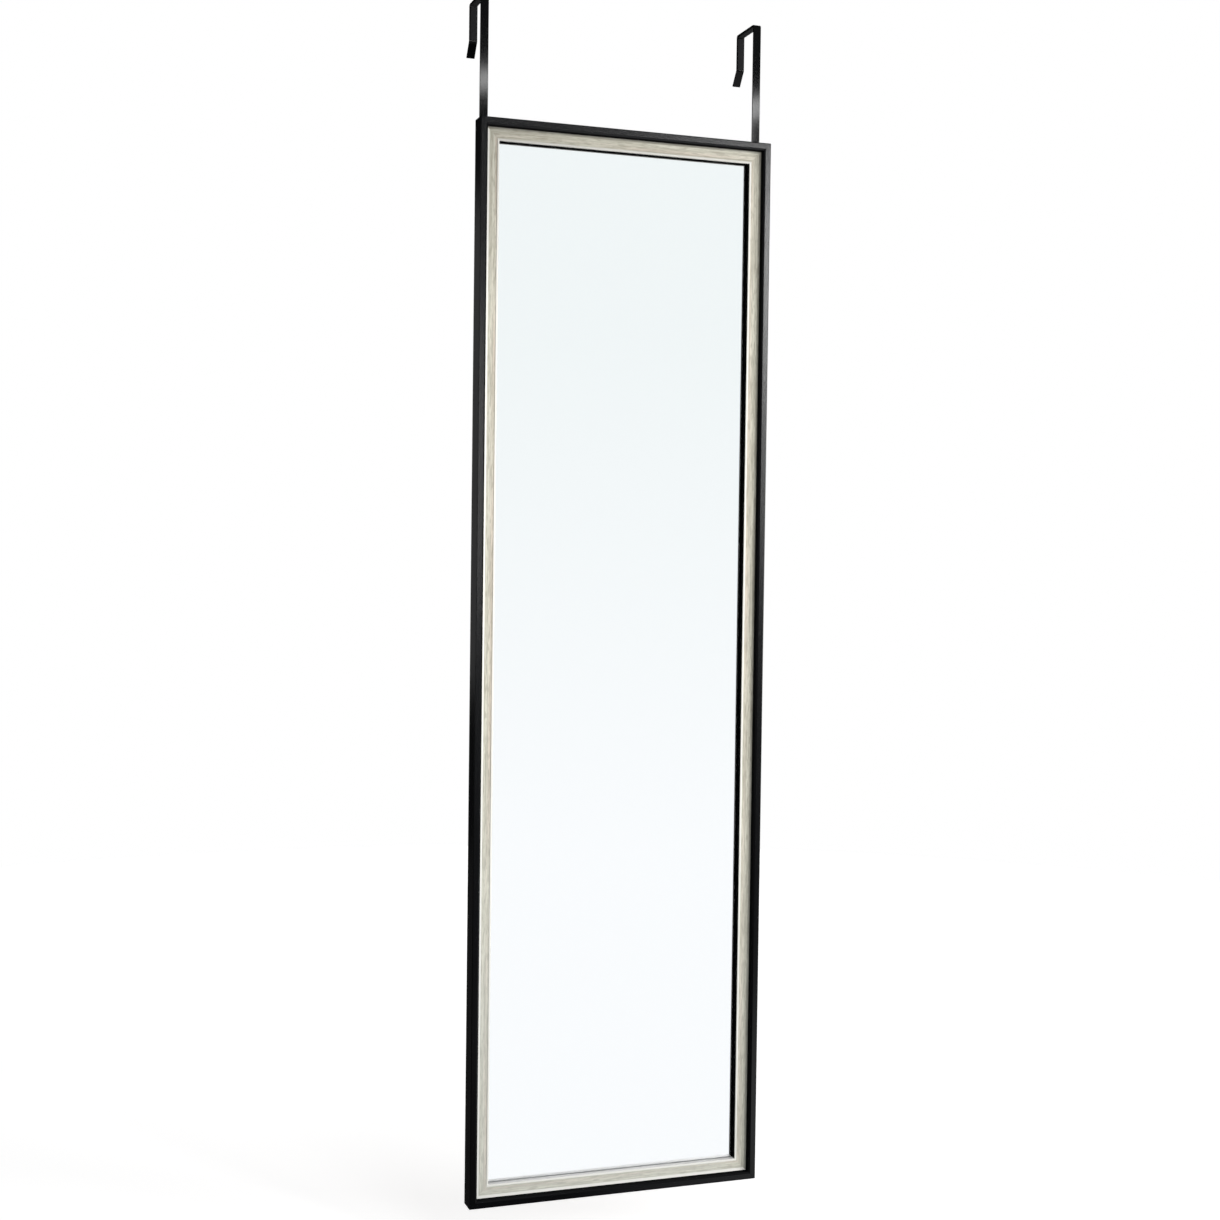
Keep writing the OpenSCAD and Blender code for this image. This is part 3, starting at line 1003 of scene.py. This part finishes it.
def screw_cutter(side):
    """The countersunk holes of one hook, as solids to cut with."""
    chosen = settings().hooks
    low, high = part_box(f"hook_screws_{side}")
    middle = (low.x + high.x) / 2
    head, shank = chosen.head_radius + chosen.clearance, chosen.shank_radius + chosen.clearance
    spare = 1 * MM
    face = high.y
    profile = [
        (head, spare),
        (head, face),
        (shank, face - chosen.head_depth),
        (shank, face - chosen.head_depth - 2 * spare),
    ]
    bm = bmesh.new()
    for height in (low.z + chosen.head_radius, high.z - chosen.head_radius):
        verts = [bm.verts.new((middle + reach, y, height)) for reach, y in profile]
        edges = [bm.edges.new(pair) for pair in zip(verts, verts[1:])]
        bmesh.ops.spin(
            bm,
            geom=verts + edges,
            cent=(middle, 0, height),
            axis=(0, 1, 0),
            angle=2 * math.pi,
            steps=ROUND_STEPS,
            use_merge=True,
        )
    bmesh.ops.remove_doubles(bm, verts=bm.verts, dist=SAME_PLACE)
    bmesh.ops.holes_fill(bm, edges=bm.edges, sides=0)
    return new_object(f"hole_cutter_{side}", bm)


class BuildHooks(bpy.types.Operator):
    """Make the two bent straps with their countersunk holes, and finish their screws"""

    bl_idname = "door_mirror.hooks"
    bl_label = "Hooks"

    def execute(self, context):
        for side in SIDES:
            strap = paint(new_object(f"hook_{side}_strap", hook_strap(side)), powder_coat)
            cut_by(strap, screw_cutter(side))
            finished(strap, replaces=[f"hook_{side}"])
            dress(f"hook_screws_{side}", blackened_steel)
        return {"FINISHED"}


def foam_pad(node, thin):
    """A die-cut pad that fills a node's box, stuck on at the high end of its thin axis."""
    chosen = settings().foam
    low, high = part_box(node)
    wide, long = [axis for axis in (X, Y, Z) if axis != thin]
    corners = []
    for first, second in ((low, low), (high, low), (high, high), (low, high)):
        corner = high.copy()
        corner[wide] = first[wide]
        corner[long] = second[long]
        corners.append(corner)
    bm = bmesh.new()
    faces = outline(bm, corners, [(chosen.corner, 5, range(4))])
    step = Vector((0, 0, 0))
    step[thin] = low[thin] - high[thin]
    top = extruded(bm, faces, step)
    rounded(bm, edges_round(top), chosen.edge, segments=3)
    return bm


def foam_bumper(node):
    """A round bumper that fills a node's box."""
    low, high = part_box(node)
    radius = (high.x - low.x) / 2
    bm = bmesh.new()
    bmesh.ops.create_circle(bm, cap_ends=True, segments=ROUND_STEPS, radius=radius)
    turn = Matrix.Translation(((low.x + high.x) / 2, low.y, (low.z + high.z) / 2))
    bm.transform(turn @ Matrix.Rotation(math.radians(-90), 4, "X"))
    top = extruded(bm, bm.faces[:], (0, high.y - low.y, 0))
    rounded(bm, edges_round(top), settings().foam.bumper_edge, segments=4)
    return bm


class BuildFoam(bpy.types.Operator):
    """Make the foam pads inside the hooks and the bumpers at the foot"""

    bl_idname = "door_mirror.foam"
    bl_label = "Foam pads and bumpers"

    def execute(self, context):
        for side in SIDES:
            forms = {
                f"bridge_pad_{side}": foam_pad(f"bridge_pad_{side}", thin=Z),
                f"leg_pad_{side}": foam_pad(f"leg_pad_{side}", thin=Y),
                f"bumper_{side}": foam_bumper(f"bumper_{side}"),
            }
            for node, form in forms.items():
                piece = paint(new_object(f"{node}_foam", form), charcoal_foam)
                finished(piece, replaces=[node])
        return {"FINISHED"}


# --- Stage ---

# The photo's camera, in metres, degrees, pixels and millimetres.
CAMERA_PLACE = (-0.7309, -2.0597, -0.6586)
CAMERA_TURN = (88.1584, -0.7356, -19.3102)
PHOTO_SIZE = 1220
PHOTO_CENTRE_DROP = 6.58
SENSOR = 36.0
# A gleam's lamp hangs this many times as far from the mirrored camera as its spot.
GLEAM_REACH = 3.0

WHITE = (1.0, 1.0, 1.0)
BLACK = (0.0, 0.0, 0.0)
PALE = (0.80, 0.80, 0.80)
DULL = (0.045, 0.045, 0.045)
GLOW = (0.55, 0.55, 0.55)
CLEAR_HIGH = (0.905, 0.939, 0.938)
CLEAR_LOW = (0.983, 0.991, 1.0)
SATIN_HIGH = (0.17, 0.175, 0.185)
SATIN_LOW = (0.07, 0.07, 0.075)
SATIN_BEHIND = (0.008, 0.008, 0.009)
# Between which directions the room changes, from low to high and from behind the mirror to ahead.
CLEAR_RISE, SATIN_RISE, SATIN_AHEAD = (-0.16, 0.12), (-0.35, 0.25), (0.1, -0.5)
# Between which places on the floor glows the painted patch of light that only the satin surfaces
# see.
SHEEN_ACROSS, SHEEN_ALONG = (0.0, 0.42), (-1.4, -0.6)


def seen_sharply(add, path):
    """1 for a ray from the camera, off a clear reflection or through glass, and 0 for any other."""
    most = maths(add, "MAXIMUM", path["Is Camera Ray"], path["Is Singular Ray"])
    return maths(add, "MAXIMUM", most, path["Is Transmission Ray"])


def light_room():
    """A room that is white to the eye, nearly so in the mirror, and shaded in satin surfaces."""
    world = bpy.data.worlds.new("pale_room")
    bpy.context.scene.world = world
    world.use_nodes = True
    world.node_tree.nodes.clear()
    add = adder(world.node_tree)
    path = add("ShaderNodeLightPath").outputs
    way = apart(add, add("ShaderNodeTexCoord").outputs["Generated"])
    rise = spread(add, way["Z"], *CLEAR_RISE)
    clear = mixed(add, rise, opaque(CLEAR_LOW), opaque(CLEAR_HIGH))
    shown = mixed(add, path["Is Camera Ray"], clear, opaque(WHITE))
    rise = spread(add, way["Z"], *SATIN_RISE)
    satin = mixed(add, rise, opaque(SATIN_LOW), opaque(SATIN_HIGH))
    satin = mixed(add, spread(add, way["Y"], *SATIN_AHEAD), opaque(SATIN_BEHIND), satin)
    seen = add("ShaderNodeBackground", {"Color": shown}).outputs[0]
    sheen = add("ShaderNodeBackground", {"Color": satin}).outputs[0]
    inputs = {"Color": opaque(WHITE), "Strength": settings().stage.ambient}
    soft = add("ShaderNodeBackground", inputs).outputs[0]
    unclear = add("ShaderNodeMixShader", {0: path["Is Glossy Ray"], 1: soft, 2: sheen}).outputs[0]
    inputs = {0: seen_sharply(add, path), 1: unclear, 2: seen}
    both = add("ShaderNodeMixShader", inputs).outputs[0]
    add("ShaderNodeOutputWorld", {"Surface": both})


def pale_floor(add):
    """Plain pale paint that blends into the room, and is dull in satin surfaces but for a painted
    glow to the front right that they see as a sheen.
    """
    path = add("ShaderNodeLightPath").outputs
    sharp = seen_sharply(add, path)
    unclear = maths(add, "SUBTRACT", 1.0, sharp)
    dull = times(add, path["Is Glossy Ray"], unclear)
    way = apart(add, object_place(add))
    # A patch of floor to the front right glows, seen only in satin surfaces: a painted light for
    # their reflections.
    sheen = times(add, spread(add, way["X"], *SHEEN_ACROSS), spread(add, way["Y"], *SHEEN_ALONG))
    direct = maths(add, "MAXIMUM", path["Is Camera Ray"], unclear)
    lit = mixed(add, dull, opaque(PALE), opaque(DULL))
    return {
        "Base Color": mixed(add, direct, opaque(BLACK), lit),
        "Roughness": 0.9,
        "Specular IOR Level": 0.0,
        "Emission Color": mixed(add, path["Is Camera Ray"], opaque(CLEAR_LOW), opaque(GLOW)),
        "Emission Strength": maths(add, "ADD", sharp, times(add, sheen, dull)),
    }


def lay_floor():
    """A plain pale floor under the hanging mirror."""
    chosen = settings().stage
    bm = bmesh.new()
    bmesh.ops.create_circle(bm, cap_ends=True, segments=96, radius=chosen.floor_radius)
    bmesh.ops.translate(bm, verts=bm.verts, vec=(0, 0, FRAME_LOW.z - chosen.floor_gap))
    floor = paint(new_object("floor", bm), pale_floor)


def hang_lamp(name, target, way, size, power, hidden_from=()):
    """A soft lamp at the end of a way from its target, facing back."""
    lamp = bpy.data.lights.new(name, "AREA")
    lamp.shape = "RECTANGLE"
    lamp.size, lamp.size_y = size
    lamp.energy = power
    holder = placed(name, lamp)
    holder.location = Vector(target) + way
    holder.rotation_euler = way.to_track_quat("Z", "Y").to_euler()
    for ray in ("camera", "transmission", *hidden_from):
        setattr(holder, f"visible_{ray}", False)


def toward(azimuth, elevation, distance):
    """A way of some length at an azimuth right of the front and an elevation."""
    side, rise = math.radians(azimuth), math.radians(elevation)
    level = math.cos(rise) * distance
    return Vector((math.sin(side) * level, -math.cos(side) * level, math.sin(rise) * distance))


def hang_gleam(name, spot, size, power, axis=Y):
    """A lamp that the camera sees mirrored, at its size, at a spot on a face across an axis."""
    seen_from = Vector(CAMERA_PLACE)
    seen_from[axis] = 2 * spot[axis] - seen_from[axis]
    way = (Vector(spot) - seen_from) * (GLEAM_REACH - 1)
    hang_lamp(name, spot, way, (size[0] * GLEAM_REACH, size[1] * GLEAM_REACH), power)


def hang_lamps():
    """Gleams on the moulding and the straps, and plain lamps that light the rest."""
    front, strap_front = FRAME_LOW.y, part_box("hook_left")[0].y
    hang_gleam("key", (0.236, front, -0.295), size=(0.14, 0.26), power=28)
    hang_gleam("brow", (0.10, front, -0.13), size=(0.10, 0.05), power=2)
    hang_gleam("key_foot", (0.236, front, -0.53), size=(0.14, 0.22), power=6.5)
    hang_gleam("low", (-0.235, front, -0.55), size=(0.10, 0.34), power=6.3)
    flank = (FRAME_LOW.x, FRAME_MIDDLE.y, -0.53)
    hang_gleam("flank", flank, size=(0.4, 0.57), power=0.9, axis=X)
    edge, way = (FRAME_LOW.x, front, -0.53), toward(azimuth=-85, elevation=3.7, distance=2.0)
    hang_lamp("edge", edge, way, size=(0.8, 1.07), power=10, hidden_from=["diffuse"])
    for side, sign in SIDES.items():
        spot = (sign * 0.174, strap_front, -0.099)
        hang_gleam(f"strap_{side}", spot, size=(0.06, 0.023), power=0.68)
    way = toward(azimuth=52, elevation=4, distance=3.0)
    hang_lamp("sun", FRAME_MIDDLE, way, size=(1.2, 1.2), power=46)
    low, way = (0.10, front, -0.60), Vector((-0.15, -0.62, 0.0))
    hang_lamp("fill", low, way, size=(0.25, 0.8), power=2.2, hidden_from=["glossy"])
    way = toward(azimuth=160, elevation=25, distance=3.4)
    hang_lamp("back", FRAME_MIDDLE, way, size=(1.8, 1.8), power=30)


def aim_camera():
    """The camera at the photographer's place."""
    data = bpy.data.cameras.new("camera")
    data.sensor_width = SENSOR
    data.lens = settings().stage.lens
    data.shift_y = PHOTO_CENTRE_DROP / PHOTO_SIZE
    camera = placed("camera", data)
    camera.location = CAMERA_PLACE
    camera.rotation_euler = [math.radians(turn) for turn in CAMERA_TURN]
    bpy.context.scene.camera = camera


class BuildStage(bpy.types.Operator):
    """Lay the floor, hang the lamps and aim the camera"""

    bl_idname = "door_mirror.stage"
    bl_label = "Floor, light and camera"

    def execute(self, context):
        context.scene.view_settings.view_transform = "Standard"
        light_room()
        lay_floor()
        hang_lamps()
        aim_camera()
        return {"FINISHED"}


OPERATORS = (
    BuildStage,
    BuildMoulding,
    BuildInlay,
    BuildPane,
    BuildBack,
    BuildHooks,
    BuildFoam,
)


class DoorMirrorPanel(bpy.types.Panel):
    """Sizes and colours of the mirror, and the steps that build it"""

    bl_idname = "VIEW3D_PT_door_mirror"
    bl_label = "Over the door mirror"
    bl_space_type = "VIEW_3D"
    bl_region_type = "UI"
    bl_category = "Door mirror"

    def draw(self, context):
        for operator in OPERATORS:
            self.layout.operator(operator.bl_idname)
        for name in GROUPS:
            group = getattr(context.scene.door_mirror, name)
            box = self.layout.box()
            box.label(text=name.capitalize())
            for prop in group.bl_rna.properties:
                if not prop.is_readonly and prop.identifier != "name":
                    box.prop(group, prop.identifier)


CLASSES = (*GROUPS.values(), DoorMirrorSettings, *OPERATORS, DoorMirrorPanel)


def register():
    for item in CLASSES:
        bpy.utils.register_class(item)
    bpy.types.Scene.door_mirror = PointerProperty(type=DoorMirrorSettings)


def unregister():
    del bpy.types.Scene.door_mirror
    for item in reversed(CLASSES):
        bpy.utils.unregister_class(item)


def main():
    """Build the mirror and its stage."""
    register()
    bpy.ops.door_mirror.stage()
    bpy.ops.door_mirror.moulding()
    bpy.ops.door_mirror.inlay()
    bpy.ops.door_mirror.pane()
    bpy.ops.door_mirror.back()
    bpy.ops.door_mirror.hooks()
    bpy.ops.door_mirror.foam()


if __name__ == "__main__":
    main()
